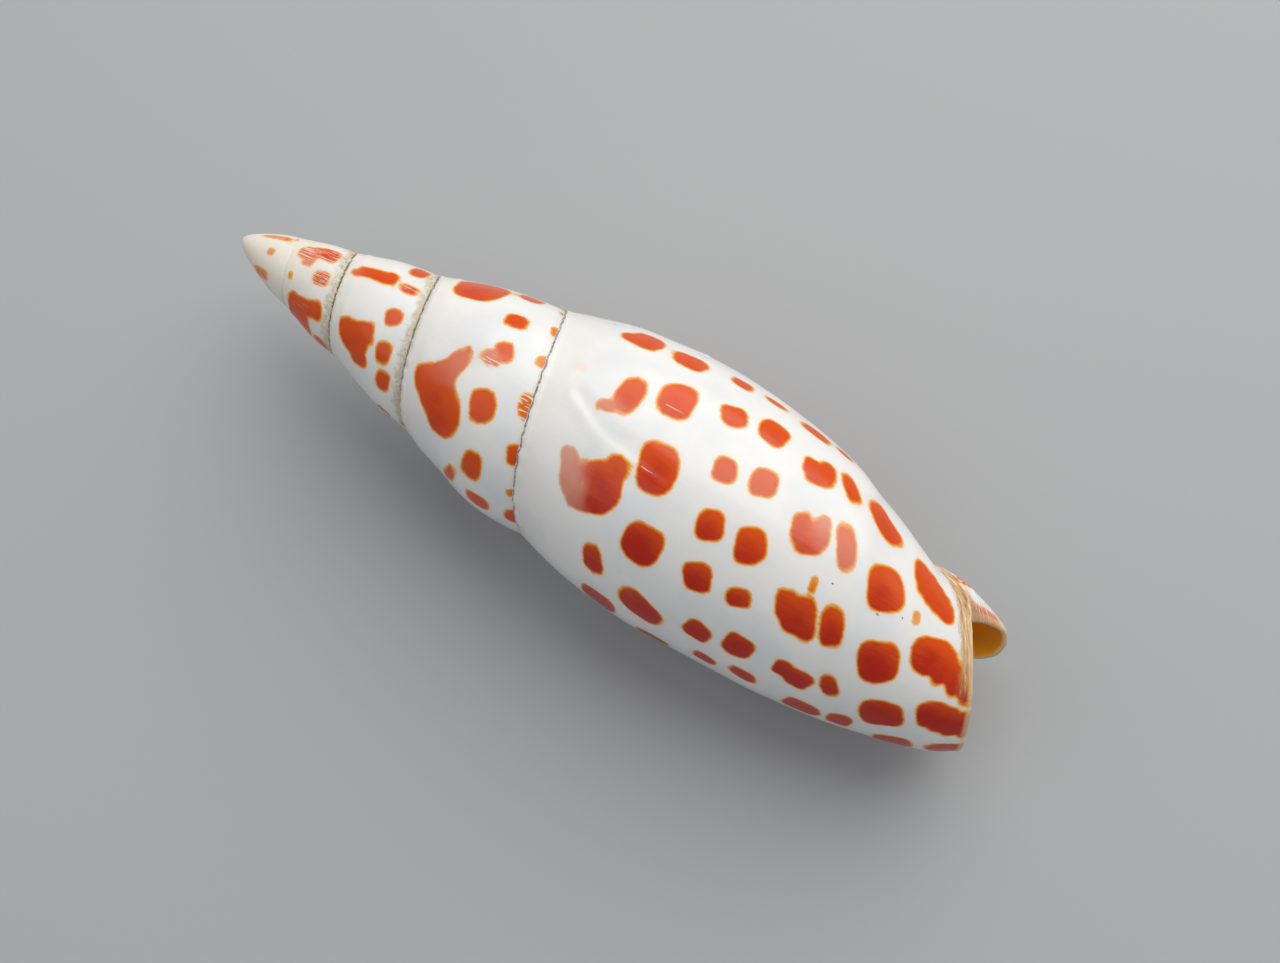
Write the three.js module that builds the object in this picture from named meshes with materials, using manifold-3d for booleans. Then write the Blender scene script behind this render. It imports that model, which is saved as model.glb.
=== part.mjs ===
// Miter shell lying aperture down, grown as one piece.
// Working frame: shell axis along X, apex at x = 0, front end at +X; angle 0 faces +Z.
// Angles grow in the direction of growth, round the axis from +Z towards -Y.
import * as THREE from 'three';
import Module from 'manifold-3d';

const wasm = await Module();
wasm.setup();

const TURN = 2 * Math.PI;
const deg = (a) => a * Math.PI / 180;

// Driving dimensions, millimetres and degrees
const GROWTH_PER_TURN = 1.484;
const POLE_AHEAD_OF_APEX = 8.5;
const SUTURE_SCALE = 55.5;
const LIP_ANGLE = deg(136);
const APEX_ROUNDING = 7;
const WALL = 2.0;
const WALL_GROWTH = 0.6;
const THINNEST_WALL = 0.8;
const CANAL_WALL = 1.0;
const PILLAR_RADIUS = 3.6;
const PILLAR_GROWTH = 0.7;
const PILLAR_BLEND = 1.8;
const OLD_FRONT_LENGTH = 14;

// The winding chamber: how far back it runs, and how it ends at the front and at the mouth
const CHAMBER_TURNS = 2.2;
const NARROWEST_CHAMBER = 0.45;
const THINNEST_CHAMBER_LOOP = 0.3;
const CLOSED_END_LENGTH = 5;
const OPEN_END_OVERRUN = 3;
const END_OPENS = [deg(-75), deg(-35)];
const MOUTH_OVERLAP = deg(1.2);
const MOUTH_LIFT = 0.15;

// How the shell lies on the floor
const REST_ROLL = deg(14.05);
const REST_PITCH = deg(2.05);

// Facet counts
const COLUMNS_PER_TURN = 36;
const WHORLS_ABOVE_LAST = 4;
const SPIRE_ROWS = [0, 0.07, 0.26, 0.5, 0.76, 1];
const LAST_ROWS = 20;
const FRONT_ROWS = 5;
const LATEST_CREASE = 0.93;
const CHAMBER_STEP = deg(13);
const CHAMBER_ROWS = 13;
const CHAMBER_ROW_EASING = 0.5;
const SPAN_SEARCH_STEPS = 300;
const CANAL_SIDES = 26;
const CANAL_RINGS = 12;

const SHELL_COLOUR = '#efe9df';
const SHELL_ROUGHNESS = 0.25;

// Monotone curve through points [x, y], flat beyond both ends
function curve(points) {
  const x = points.map((p) => p[0]);
  const y = points.map((p) => p[1]);
  const last = x.length - 1;
  const step = x.slice(1).map((v, i) => v - x[i]);
  const rise = step.map((s, i) => (y[i + 1] - y[i]) / s);
  const slope = x.map(() => 0);
  for (let i = 1; i < last; i++) {
    if (rise[i - 1] * rise[i] <= 0) continue;
    const a = 2 * step[i] + step[i - 1];
    const b = step[i] + 2 * step[i - 1];
    slope[i] = (a + b) / (a / rise[i - 1] + b / rise[i]);
  }
  slope[0] = rise[0];
  slope[last] = rise[last - 1];
  return (at) => {
    const v = Math.min(Math.max(at, x[0]), x[last]);
    let i = 0;
    while (i < last - 1 && v >= x[i + 1]) i++;
    const t = (v - x[i]) / step[i];
    const u = 1 - t;
    return (1 + 2 * t) * u * u * y[i] + t * u * u * step[i] * slope[i]
      + t * t * (3 - 2 * t) * y[i + 1] + t * t * (t - 1) * step[i] * slope[i + 1];
  };
}

const mix = (a, b, t) => a * (1 - t) + b * t;

function ramp(from, to, x) {
  const t = Math.min(Math.max((x - from) / (to - from), 0), 1);
  return t * t * (3 - 2 * t);
}

// Whorl outline from its suture (0) to its front edge (1): radius in millimetres.
// The spire outline is for a whorl of unit size; the others are at the growth angles named.
const spireOutline = curve([
  [0, 14.2], [0.025, 14.9], [0.1, 16.5], [0.18, 18.2], [0.24, 19.2], [0.34, 20.3],
  [0.43, 21.0], [0.5, 20.6], [0.58, 18.8], [0.68, 15.5], [0.78, 12], [0.9, 9], [1, 7.4],
]);
const outlineAtMinus270 = curve([
  [0, 10.5], [0.03, 11.2], [0.07, 11.9], [0.15, 13.0], [0.21, 13.95], [0.26, 14.45],
  [0.31, 14.65], [0.36, 14.6], [0.42, 14.3], [0.5, 13.4], [0.59, 12.0], [0.7, 9.9],
  [0.8, 8.1], [0.91, 7.3], [1, 7.2],
]);
const outlineAtMinus90 = curve([
  [0, 12.85], [0.025, 13.5], [0.08, 14.45], [0.17, 15.9], [0.26, 16.6], [0.33, 17.05],
  [0.41, 17.2], [0.5, 16.95], [0.6, 16.3], [0.67, 15.6], [0.73, 14.7], [0.79, 13.2],
  [0.85, 11.85], [0.9, 10.45], [0.95, 9.1], [1, 8.3],
]);
const outlineAtPlus90 = curve([
  [0, 14.3], [0.02, 14.9], [0.045, 15.35], [0.12, 16.3], [0.19, 16.8], [0.28, 17.15],
  [0.36, 17.0], [0.45, 16.75], [0.55, 16.45], [0.64, 15.85], [0.72, 15.15], [0.8, 14.1],
  [0.88, 12.9], [0.95, 11.4], [1, 9.6],
]);
// The spire's outline holds up to this angle; from there the whorl passes from one to the next
const SPIRE_OUTLINE_ENDS = deg(-450);
const LAST_OUTLINES = [
  [deg(-270), outlineAtMinus270], [deg(-90), outlineAtMinus90], [deg(90), outlineAtPlus90],
];
// The oldest whorls are worn to a cone, which gives way to their outline between these places
const WORN_CONE_SLOPE = 0.2555;
const WORN_CONE_FADE = [1, 16];
// Crease at the front of the last whorl, and the end of everything in front of it, by angle
const CREASE_START = -90;
const lastFront = curve([
  [CREASE_START, 97.2], [-65, 101.2], [-40, 104.0], [-25, 105.3], [0, 107.8], [40, 110.7],
  [85, 112.2], [110, 111.9], [125, 111], [136, 109.5],
]);
const frontCut = curve([
  [-224, 97], [-205, 101], [-190, 104.5], [-175, 107.5], [-160, 109.8], [-145, 110.9],
  [-130, 111], [-115, 110.6], [-100, 109.9], [-85, 108.8], [-75, 107.7], [-60, 106], [-50, 105.1],
  [-40, 104.7], [-25, 105.7], [0, 107.8], [40, 110.7], [85, 112.2], [110, 111.9], [125, 111],
  [136, 109.5],
]);
// Narrowing from the crease to the tip of the horn, and the angles over which it sets in
const hornTaper = curve([[0, 1], [0.12, 1.06], [0.3, 1.06], [0.65, 0.97], [0.93, 0.82], [1, 0.76]]);
const TAPER_SETS_IN = [deg(-20), deg(-55)];
// Ridges winding round the pillar: position and height for a whorl of unit size
const PILLAR_FOLDS = [[66, 0.9], [71.5, 1.0], [77, 0.9], [82, 0.7]];
const FOLD_WIDTH = 1.5;
const FOLD_FADE = deg(80);
// Spout hollow: axial position, offset of its centre from the axis, radius
const CANAL_STATIONS = [
  [93, 4.5, 1.6], [97, 4.0, 3.4], [101, 3.0, 5.6], [104, 2.0, 7.4], [108, 1.5, 9], [115, 1.5, 10],
];
const CANAL_DIRECTION = deg(82);

const size = (turn) => Math.pow(GROWTH_PER_TURN, turn / TURN);
const suture = (turn) => SUTURE_SCALE * size(turn) - POLE_AHEAD_OF_APEX;
const wall = (turn) => Math.max(WALL * Math.pow(size(turn), WALL_GROWTH), THINNEST_WALL);

function front(turn) {
  const start = deg(CREASE_START);
  if (turn >= start) return lastFront(turn / deg(1));
  return (lastFront(CREASE_START) + POLE_AHEAD_OF_APEX) * size(turn - start) - POLE_AHEAD_OF_APEX;
}

function frontEnd(turn) {
  if (turn < LIP_ANGLE - TURN) return front(turn) + OLD_FRONT_LENGTH * size(turn);
  return frontCut(turn / deg(1));
}

function smoothMax(a, b, blend) {
  const d = Math.max(blend - Math.abs(a - b), 0) / blend;
  return Math.max(a, b) + d * d * blend / 4;
}

// Outside of the whorl at a growth angle, before any earlier or later whorl hides it
function whorlRadius(turn, x) {
  const s = size(turn);
  const v = (x - suture(turn)) / (front(turn) - suture(turn));
  const part = Math.min(Math.max(v, 0), 1);
  const cone = WORN_CONE_SLOPE * (x + POLE_AHEAD_OF_APEX);
  let r = mix(cone, s * spireOutline(part), ramp(...WORN_CONE_FADE, x));
  let before = SPIRE_OUTLINE_ENDS;
  for (const [at, outline] of LAST_OUTLINES) {
    r = mix(r, outline(part), ramp(before, at, turn));
    before = at;
  }
  if (v > 1) {
    const taper = hornTaper((x - front(turn)) / Math.max(frontEnd(turn) - front(turn), 1));
    r *= mix(1, taper, ramp(...TAPER_SETS_IN, turn));
  }
  return smoothMax(r, PILLAR_RADIUS * Math.pow(s, PILLAR_GROWTH), PILLAR_BLEND);
}

function foldHeight(turn, x) {
  const s = size(turn);
  const unit = (x + POLE_AHEAD_OF_APEX) / s;
  let sum = 0;
  for (const [at, height] of PILLAR_FOLDS) {
    sum += height * s * Math.exp(-(((unit - at) / FOLD_WIDTH) ** 2));
  }
  return sum;
}

const apexShrink = (x) => Math.sqrt(Math.max(1 - Math.max(1 - x / APEX_ROUNDING, 0) ** 2, 0));

function outsideRadius(turn, x) {
  let r = whorlRadius(turn, x) * apexShrink(x);
  const fromMouth = turn - (LIP_ANGLE - TURN);
  if (fromMouth >= 0) r += foldHeight(turn + TURN, x) * (1 - ramp(0, FOLD_FADE, fromMouth));
  return r;
}

const place = (turn, r, x) => [x, -r * Math.sin(turn), r * Math.cos(turn)];

// Mesh under construction: points and triangles by index
function newMesh() {
  return { points: [], faces: [] };
}

function addPoint(mesh, point) {
  mesh.points.push(point);
  return mesh.points.length - 1;
}

function addStrip(mesh, a, b) {
  for (let j = 0; j + 1 < a.length; j++) {
    if (b[j] !== b[j + 1]) mesh.faces.push([a[j], b[j], b[j + 1]]);
    if (a[j] !== a[j + 1]) mesh.faces.push([a[j], b[j + 1], a[j + 1]]);
  }
}

function addFan(mesh, centre, ring) {
  for (let j = 0; j + 1 < ring.length; j++) mesh.faces.push([centre, ring[j], ring[j + 1]]);
}

function toManifold(mesh) {
  return new wasm.Manifold(new wasm.Mesh({
    numProp: 3,
    vertProperties: new Float32Array(mesh.points.flat()),
    triVerts: new Uint32Array(mesh.faces.flat()),
  }));
}

// Rows of the last whorl: suture, where the lip's suture will fall, front edge, end
function lastColumnRows(turn) {
  const start = suture(turn);
  const end = frontEnd(turn);
  const first = LIP_ANGLE - TURN;
  const split = (suture(LIP_ANGLE) - suture(first)) / (frontEnd(first) - suture(first));
  const crease = Math.min((front(turn) - start) / (end - start), LATEST_CREASE);
  const rows = SPIRE_ROWS.map((t) => t * split);
  for (let j = 1; j <= LAST_ROWS; j++) rows.push(split + (crease - split) * j / LAST_ROWS);
  for (let j = 1; j <= FRONT_ROWS; j++) rows.push(crease + (1 - crease) * j / FRONT_ROWS);
  return rows.map((t) => start + t * (end - start));
}

// Closed skin of all whorls as one winding band, with the mouth as a flat radial face
function skin() {
  const mesh = newMesh();
  const spireColumns = WHORLS_ABOVE_LAST * COLUMNS_PER_TURN;
  const firstTurn = LIP_ANGLE - (WHORLS_ABOVE_LAST + 1) * TURN;
  const turnAt = (i) => firstTurn + i * TURN / COLUMNS_PER_TURN;
  const columns = [];
  for (let i = 0; i <= spireColumns + COLUMNS_PER_TURN; i++) {
    const turn = turnAt(i);
    const previous = turn - TURN;
    const upper = i < COLUMNS_PER_TURN ? turn : previous;
    const edge = addPoint(mesh, place(turn, outsideRadius(upper, suture(turn)), suture(turn)));
    columns.push([edge]);
  }
  for (let i = 0; i < spireColumns; i++) {
    const turn = turnAt(i);
    const span = suture(turn + TURN) - suture(turn);
    for (const t of SPIRE_ROWS.slice(1, -1)) {
      const x = suture(turn) + t * span;
      columns[i].push(addPoint(mesh, place(turn, outsideRadius(turn, x), x)));
    }
    columns[i].push(columns[i + COLUMNS_PER_TURN][0]);
  }
  for (let i = spireColumns; i <= spireColumns + COLUMNS_PER_TURN; i++) {
    const turn = turnAt(i);
    lastColumnRows(turn).slice(1).forEach((x, j) => {
      const shared = i === spireColumns && j + 2 === SPIRE_ROWS.length;
      const id = shared ? columns[i + COLUMNS_PER_TURN][0]
        : addPoint(mesh, place(turn, outsideRadius(turn, x), x));
      columns[i].push(id);
    });
  }
  for (let i = 0; i + 1 < columns.length; i++) {
    const rows = Math.min(columns[i].length, columns[i + 1].length);
    addStrip(mesh, columns[i].slice(0, rows), columns[i + 1].slice(0, rows));
  }
  closeApex(mesh, columns);
  closeMouthAndFront(mesh, columns.slice(spireColumns));
  return toManifold(mesh);
}

function closeApex(mesh, columns) {
  const tip = addPoint(mesh, [0, 0, 0]);
  const ring = columns.slice(0, COLUMNS_PER_TURN + 1).map((c) => c[0]);
  const start = columns[0].slice(1, -1).reverse();
  addFan(mesh, tip, [...ring, ...start, ring[0]].reverse());
}

// Joins two chains of different length that run the same way along X
function addBridge(mesh, a, b) {
  const along = (id) => mesh.points[id][0];
  let i = 0;
  let j = 0;
  while (i + 1 < a.length || j + 1 < b.length) {
    const stepA = j + 1 >= b.length || (i + 1 < a.length && along(a[i + 1]) <= along(b[j + 1]));
    const next = stepA ? a[i + 1] : b[j + 1];
    if (a[i] !== b[j]) mesh.faces.push([a[i], b[j], next]);
    if (stepA) i++;
    else j++;
  }
}

function closeMouthAndFront(mesh, columns) {
  const inner = columns[0].slice(SPIRE_ROWS.length - 1);
  const lip = columns[columns.length - 1];
  addBridge(mesh, lip, inner);
  const middle = addPoint(mesh, [frontCut(-224), 0, 0]);
  const ends = columns.map((c) => c[c.length - 1]);
  addFan(mesh, middle, [...ends, ends[0]]);
}

// Floor of the chamber: the whorl inside it, with the ridges on it
const floorRadius = (turn, x) => whorlRadius(turn - TURN, x) + foldHeight(turn, x);

function roofRadius(turn, x) {
  const reach = Math.min(x, front(turn));
  return whorlRadius(turn, reach) * apexShrink(x) - wall(turn);
}

// Where along X the chamber is open at one growth angle
function chamberSpan(turn) {
  const closedEnd = front(turn) - CLOSED_END_LENGTH * size(turn);
  const end = mix(closedEnd, front(turn) + OPEN_END_OVERRUN, ramp(...END_OPENS, turn));
  const start = suture(turn);
  const roomy = (x) => roofRadius(turn, x) - floorRadius(turn, x) > NARROWEST_CHAMBER;
  const step = (end - start) / SPAN_SEARCH_STEPS;
  let from = start;
  while (from < end && !roomy(from)) from += step;
  let to = end;
  while (to > from && !roomy(to)) to -= step;
  return [from, to];
}

function chamberLoop(mesh, turn, shown) {
  const [from, to] = chamberSpan(turn);
  const floor = [];
  const roof = [];
  for (let j = 0; j < CHAMBER_ROWS; j++) {
    const even = j / (CHAMBER_ROWS - 1);
    const eased = 0.5 - 0.5 * Math.cos(Math.PI * even);
    const x = mix(from, to, mix(even, eased, CHAMBER_ROW_EASING));
    const lift = shown > turn ? MOUTH_LIFT : 0;
    const top = roofRadius(turn, x);
    const bottom = Math.min(floorRadius(turn, x) + lift, top - THINNEST_CHAMBER_LOOP);
    floor.push(addPoint(mesh, place(shown, bottom, x)));
    roof.push(addPoint(mesh, place(shown, top, x)));
  }
  return { floor, roof, ring: [...floor, ...roof.reverse(), floor[0]] };
}

// Hollow that winds back from the mouth between each whorl and the one inside it
function chamber() {
  const mesh = newMesh();
  const steps = Math.round(CHAMBER_TURNS * TURN / CHAMBER_STEP);
  const loops = [];
  for (let i = steps; i >= 0; i--) {
    const turn = LIP_ANGLE - i * CHAMBER_STEP;
    loops.push(chamberLoop(mesh, turn, turn));
  }
  loops.push(chamberLoop(mesh, LIP_ANGLE, LIP_ANGLE + MOUTH_OVERLAP));
  for (let i = 0; i + 1 < loops.length; i++) addStrip(mesh, loops[i + 1].ring, loops[i].ring);
  const first = loops[0];
  const last = loops[loops.length - 1];
  const roofOf = (loop) => loop.ring.slice(CHAMBER_ROWS, 2 * CHAMBER_ROWS).reverse();
  addStrip(mesh, first.floor, roofOf(first));
  addStrip(mesh, roofOf(last), last.floor);
  return toManifold(mesh);
}

// A point of the spout hollow, drawn in towards the axis where the wall outside needs it
function insideWall([x, y, z]) {
  const angle = Math.atan2(-y, z);
  const turn = angle > LIP_ANGLE ? angle - TURN : angle;
  const share = Math.min((outsideRadius(turn, x) - CANAL_WALL) / Math.hypot(y, z), 1);
  return [x, y * share, z * share];
}

// Trumpet-shaped hollow that opens the spout at the front end
function canal() {
  const mesh = newMesh();
  const offset = curve(CANAL_STATIONS.map((s) => [s[0], s[1]]));
  const radius = curve(CANAL_STATIONS.map((s) => [s[0], s[2]]));
  const from = CANAL_STATIONS[0][0];
  const to = CANAL_STATIONS[CANAL_STATIONS.length - 1][0];
  const rings = [];
  for (let i = 0; i < CANAL_RINGS; i++) {
    const x = from + (to - from) * i / (CANAL_RINGS - 1);
    const [, cy, cz] = place(CANAL_DIRECTION, offset(x), x);
    const ring = [];
    for (let k = 0; k < CANAL_SIDES; k++) {
      const [, y, z] = place(k * TURN / CANAL_SIDES, radius(x), x);
      ring.push(addPoint(mesh, insideWall([x, cy + y, cz + z])));
    }
    rings.push([...ring, ring[0]]);
  }
  for (let i = 0; i + 1 < rings.length; i++) addStrip(mesh, rings[i + 1], rings[i]);
  const start = addPoint(mesh, place(CANAL_DIRECTION, offset(from), from));
  const end = addPoint(mesh, place(CANAL_DIRECTION, offset(to), to));
  addFan(mesh, start, [...rings[0]].reverse());
  addFan(mesh, end, rings[CANAL_RINGS - 1]);
  return toManifold(mesh);
}

function toGeometry(solid) {
  const mesh = solid.getMesh();
  const geometry = new THREE.BufferGeometry();
  const count = mesh.vertProperties.length / mesh.numProp;
  const points = new Float32Array(3 * count);
  for (let i = 0; i < count; i++) {
    for (let k = 0; k < 3; k++) points[3 * i + k] = mesh.vertProperties[i * mesh.numProp + k];
  }
  geometry.setAttribute('position', new THREE.BufferAttribute(points, 3));
  geometry.setIndex(Array.from(mesh.triVerts));
  return geometry;
}

function build() {
  const outside = skin();
  const hollow = chamber().add(canal());
  const geometry = toGeometry(outside.subtract(hollow));
  geometry.rotateX(REST_ROLL);
  geometry.rotateY(REST_PITCH);
  geometry.computeBoundingBox();
  const box = geometry.boundingBox;
  const middle = box.getCenter(new THREE.Vector3());
  geometry.translate(-middle.x, -middle.y, -box.min.z);
  geometry.computeVertexNormals();
  return geometry;
}

const material = new THREE.MeshStandardMaterial({
  color: SHELL_COLOUR, roughness: SHELL_ROUGHNESS, metalness: 0,
});
const shell = new THREE.Mesh(build(), material);
shell.name = 'shell';
const part = new THREE.Group();
part.add(shell);

export default part;
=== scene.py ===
"""Spotted miter shell lying mouth down on a plain pale floor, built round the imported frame."""

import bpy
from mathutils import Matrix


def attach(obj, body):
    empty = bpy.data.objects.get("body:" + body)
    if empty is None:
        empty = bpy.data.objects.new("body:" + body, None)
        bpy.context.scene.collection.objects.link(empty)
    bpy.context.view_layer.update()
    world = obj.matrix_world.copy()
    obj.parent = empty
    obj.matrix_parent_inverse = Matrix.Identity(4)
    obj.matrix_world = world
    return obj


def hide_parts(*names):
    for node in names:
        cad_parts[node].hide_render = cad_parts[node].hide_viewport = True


bl_info = {
    "name": "Miter Shell",
    "version": (1, 0, 0),
    "blender": (4, 5, 0),
    "location": "View3D > Sidebar > Shell",
    "description": "Builds a long spotted sea snail shell and a plain studio for it",
    "category": "Add Mesh",
}
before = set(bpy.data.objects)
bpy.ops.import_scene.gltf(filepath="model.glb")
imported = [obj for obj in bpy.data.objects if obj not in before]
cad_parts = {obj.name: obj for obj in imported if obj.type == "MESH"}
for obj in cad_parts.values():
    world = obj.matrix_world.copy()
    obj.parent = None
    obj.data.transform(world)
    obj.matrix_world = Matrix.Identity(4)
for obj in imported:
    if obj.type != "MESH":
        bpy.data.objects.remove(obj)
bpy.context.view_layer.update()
import math

import bpy
import numpy as np
from mathutils import Matrix, Vector

TURN = math.tau
MM = 0.001
deg = math.radians

# Shape of the shell, in millimetres and degrees, as the frame's solid has it
GROWTH_PER_TURN = 1.484
POLE_AHEAD_OF_APEX = 8.5
SUTURE_SCALE = 55.5
LIP_ANGLE = deg(136)
MOUTH_START = LIP_ANGLE - TURN
APEX_ROUNDING = 7.0
WALL = 2.0
WALL_GROWTH = 0.6
THINNEST_WALL = 0.8
CANAL_WALL = 1.0
PILLAR_RADIUS = 3.6
PILLAR_GROWTH = 0.7
PILLAR_BLEND = 1.8
OLD_FRONT_LENGTH = 14.0
CHAMBER_TURNS = 2.2
NARROWEST_CHAMBER = 0.45
THINNEST_CHAMBER_LOOP = 0.3
CLOSED_END_LENGTH = 5.0
OPEN_END_OVERRUN = 3.0
END_OPENS = (deg(-75), deg(-35))
MOUTH_OVERLAP = deg(1.2)
MOUTH_LIFT = 0.06
REST_ROLL = deg(14.05)
REST_PITCH = deg(2.05)
FOLD_WIDTH = 1.5
FOLD_FADE = deg(80)
PILLAR_FOLDS = ((66, 0.9), (71.5, 1.0), (77, 0.9), (82, 0.7))
CANAL_STATIONS = (
    (93, 4.5, 1.6), (97, 4.0, 3.4), (101, 3.0, 5.6), (104, 2.0, 7.4), (108, 1.5, 9), (115, 1.5, 10))
CANAL_DIRECTION = deg(82)

# Fineness of the mesh
COLUMNS_PER_TURN = 216
WHORLS_ABOVE_LAST = 4
SPIRE_ROW_COUNT = 25
LAST_ROW_COUNT = 112
FRONT_ROW_COUNT = 48
LATEST_CREASE = 0.93
TIP_RINGS = 6
DEGREES_BEFORE_LIP = (0.15, 0.5, 1.0, 2.3, 3.0)
SPIRE_ROW_EASE = 0.65
FRONT_ROW_EASE = 0.6
CHAMBER_ROW_COUNT = 50
CHAMBER_ROW_EASE = 0.5
DEEP_LOOP_COUNT = 56
NEAR_LOOP_COUNT = 62
NEAR_LOOPS_START = LIP_ANGLE - deg(190)
NEAR_LOOPS_END = LIP_ANGLE - deg(4)
RIM_LOOPS_BEFORE_LIP = (3.4, 2.6, 1.9, 1.3, 0.8, 0.4, 0.15)
SPAN_SEARCH_STEPS = 2400
CANAL_SIDES = 120
CANAL_RINGS = 56

# Rounded rims, in millimetres: how round they are, and the stretch over which that sets in
RIM_ROUNDING = 0.9
FRONT_RIM_ROUNDING = 0.4
LIP_ROUNDING_FADE = 3
LAST_LOOP_FLARE = 0.95
FLARE_FADE = 2.5

# Fine relief, in millimetres and degrees
SEAM_LIFT_WIDTH = 0.7
SEAM_TROUGH = 0.20
SEAM_WANDER = 0.28
# Waves of the scalloped seams: height, waves in a turn, and how far and how often they shift
SCALLOP_WAVES = ((0.3, 48, 1.7, 5), (0.2, 31, 2, 3))
RIDGE_SPACING = 0.95
RIDGES_BEGIN = (-2.0, -0.8)
RIDGES_END = (5, 2.5)
RIDGED_DEGREES = (20, -10)
SCAR_STEP = 0.10
SCAR_WIDTH = 0.5
SCAR_FADE = (2.8, 0.6)
WORN_SMOOTH = (5, 13)
UNROLLED_RADIUS = 15.0

# Depth in millimetres at which spots end and over which the lining sets in, and the angle past
# the mouth over which its glaze fades out
DEEPEST_SPOT = 0.9
LINING_FADE = (0.25, 0.95)
GLAZE_FADE = (deg(45), deg(15))
# Furthest distance, in millimetres, at which each mark still counts
WHORL_REACH = 12
SEAM_REACH = 6
SEAM_FADE = (3.2, 2.2)
BODY_REACH = 5
HORN_REACH = 16
RIM_REACH = 5
MARK_REACH = 3
NO_SEAM_AHEAD = 99


def curve(points):
    """Monotone curve through points (x, y), flat beyond both ends."""
    x, y = np.array(points, float).T
    step = np.diff(x)
    rise = np.diff(y) / step
    slope = np.zeros_like(y)
    for i in range(1, len(x) - 1):
        if rise[i - 1] * rise[i] > 0:
            a = 2 * step[i] + step[i - 1]
            b = step[i] + 2 * step[i - 1]
            slope[i] = (a + b) / (a / rise[i - 1] + b / rise[i])
    slope[0], slope[-1] = rise[0], rise[-1]

    def at(value):
        v = np.clip(value, x[0], x[-1])
        i = np.clip(np.searchsorted(x, v, side="right") - 1, 0, len(step) - 1)
        t = (v - x[i]) / step[i]
        u = 1 - t
        return ((1 + 2 * t) * u * u * y[i] + t * u * u * step[i] * slope[i]
                + t * t * (3 - 2 * t) * y[i + 1] + t * t * (t - 1) * step[i] * slope[i + 1])
    return at


def mix(a, b, t):
    return a * (1 - t) + b * t


def ramp(low, high, x):
    t = np.clip((x - low) / (high - low), 0, 1)
    return t * t * (3 - 2 * t)


# Whorl outline from its suture (0) to its front edge (1): radius in millimetres
spire_outline = curve([
    (0, 14.2), (0.025, 14.9), (0.1, 16.5), (0.18, 18.2), (0.24, 19.2), (0.34, 20.3),
    (0.43, 21.0), (0.5, 20.6), (0.58, 18.8), (0.68, 15.5), (0.78, 12), (0.9, 9), (1, 7.4)])
outline_at_minus_270 = curve([
    (0, 10.5), (0.03, 11.2), (0.07, 11.9), (0.15, 13.0), (0.21, 13.95), (0.26, 14.45),
    (0.31, 14.65), (0.36, 14.6), (0.42, 14.3), (0.5, 13.4), (0.59, 12.0), (0.7, 9.9),
    (0.8, 8.1), (0.91, 7.3), (1, 7.2)])
outline_at_minus_90 = curve([
    (0, 12.85), (0.025, 13.5), (0.08, 14.45), (0.17, 15.9), (0.26, 16.6), (0.33, 17.05),
    (0.41, 17.2), (0.5, 16.95), (0.6, 16.3), (0.67, 15.6), (0.73, 14.7), (0.79, 13.2),
    (0.85, 11.85), (0.9, 10.45), (0.95, 9.1), (1, 8.3)])
outline_at_plus_90 = curve([
    (0, 14.3), (0.02, 14.9), (0.045, 15.35), (0.12, 16.3), (0.19, 16.8), (0.28, 17.15),
    (0.36, 17.0), (0.45, 16.75), (0.55, 16.45), (0.64, 15.85), (0.72, 15.15), (0.8, 14.1),
    (0.88, 12.9), (0.95, 11.4), (1, 9.6)])
SPIRE_OUTLINE_ENDS = deg(-450)
LAST_OUTLINES = (
    (deg(-270), outline_at_minus_270), (deg(-90), outline_at_minus_90), (deg(90), outline_at_plus_90))
WORN_CONE_SLOPE = 0.2555
WORN_CONE_FADE = (1, 16)
# Crease at the front of the last whorl, and the end of everything in front of it, by angle in
# degrees. From 0 on they are one edge.
CREASE_START = -90
FRONT_EDGE = ((0, 107.8), (40, 110.7), (85, 112.2), (110, 111.9), (125, 111), (136, 109.5))
last_front = curve((
    (CREASE_START, 97.2), (-65, 101.2), (-40, 104.0), (-25, 105.3)) + FRONT_EDGE)
front_cut = curve((
    (-224, 97), (-205, 101), (-190, 104.5), (-175, 107.5), (-160, 109.8), (-145, 110.9),
    (-130, 111), (-115, 110.6), (-100, 109.9), (-85, 108.8), (-75, 107.7), (-60, 106),
    (-50, 105.1), (-40, 104.7), (-25, 105.7)) + FRONT_EDGE)
horn_taper = curve([(0, 1), (0.12, 1.06), (0.3, 1.06), (0.65, 0.97), (0.93, 0.82), (1, 0.76)])
TAPER_SETS_IN = (deg(-20), deg(-55))


def size(turn):
    return GROWTH_PER_TURN ** (np.asarray(turn, float) / TURN)


def suture(turn):
    return SUTURE_SCALE * size(turn) - POLE_AHEAD_OF_APEX


def wall(turn):
    return np.maximum(WALL * size(turn) ** WALL_GROWTH, THINNEST_WALL)


def front(turn):
    turn = np.asarray(turn, float)
    start = deg(CREASE_START)
    older = (last_front(CREASE_START) + POLE_AHEAD_OF_APEX) * size(turn - start) - POLE_AHEAD_OF_APEX
    return np.where(turn < start, older, last_front(np.degrees(turn)))


def front_end(turn):
    turn = np.asarray(turn, float)
    older = front(turn) + OLD_FRONT_LENGTH * size(turn)
    return np.where(turn < MOUTH_START - 1e-9, older, front_cut(np.degrees(turn)))


def smooth_max(a, b, blend):
    d = np.maximum(blend - np.abs(a - b), 0) / blend
    return np.maximum(a, b) + d * d * blend / 4


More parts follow.
